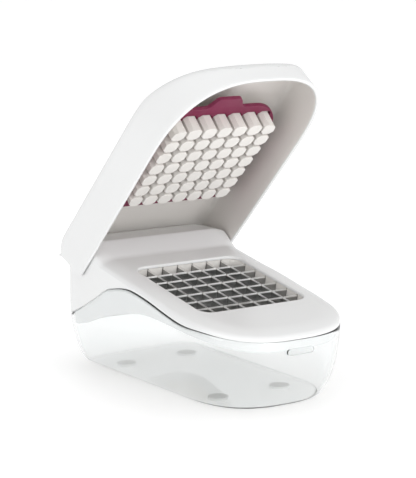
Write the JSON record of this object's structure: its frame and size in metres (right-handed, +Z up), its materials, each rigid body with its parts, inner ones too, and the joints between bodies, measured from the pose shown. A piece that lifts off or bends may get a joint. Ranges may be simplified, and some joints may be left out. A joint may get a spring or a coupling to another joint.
{
  "type": "press-down vegetable chopper",
  "caption": "Press-down vegetable chopper: a clear catch container, a white body with a square steel blade grid, and a hinged lid with pushers and a cleaning grid.",
  "frame": {"origin": "centre of the footprint of container, body and finger tab, on the surface it stands on", "axes": "+X to the right seen from the front, +Y to the rear where the lid is hinged, +Z up"},
  "size_m": [0.1264, 0.216, 0.2289],
  "materials": {
    "white_shell": "smooth moulded, glossy",
    "white_inner": "fine moulded texture",
    "clear_container": "clear, polished",
    "blade_steel": "ground edge, satin sides",
    "pin_steel": "turned",
    "maroon_grid": "satin moulded",
    "foot_pad": "matte"
  },
  "bodies": {
    "container": {"container": "clear_container", "finger_tab": "clear_container", "foot_front_left": "foot_pad", "foot_front_right": "foot_pad", "foot_rear_left": "foot_pad", "foot_rear_right": "foot_pad"},
    "chopper": {"chopper_body": "white_shell", "blade_frame": "white_inner", "frame_screw_1": "pin_steel", "frame_screw_2": "pin_steel", "frame_screw_3": "pin_steel", "frame_screw_4": "pin_steel", "long_blade_1": "blade_steel", "long_blade_2": "blade_steel", "long_blade_3": "blade_steel", "long_blade_4": "blade_steel", "long_blade_5": "blade_steel", "long_blade_6": "blade_steel", "cross_blade_1": "blade_steel", "cross_blade_2": "blade_steel", "cross_blade_3": "blade_steel", "cross_blade_4": "blade_steel", "cross_blade_5": "blade_steel", "cross_blade_6": "blade_steel", "hinge_pin_left": "pin_steel", "hinge_pin_right": "pin_steel"},
    "lid": {"lid_cover": "white_shell", "pusher_block": "white_inner"},
    "cleaning_grid": {"cleaning_grid": "maroon_grid"}
  },
  "joints": [
    {"name": "body_lift_off", "type": "slide", "parent": "container", "child": "chopper", "axis": [0, 0, 1], "range_m": [0, 0.04]},
    {"name": "lid_hinge", "type": "hinge", "parent": "chopper", "child": "lid", "pos_m": [0, 0.086, 0.0875], "axis": [-1, 0, 0], "range_deg": [-54, 18]},
    {"name": "cleaning_grid_pull", "type": "slide", "parent": "lid", "child": "cleaning_grid", "axis": [0, -0.682, -0.7314], "range_m": [0, 0.03]}
  ]
}
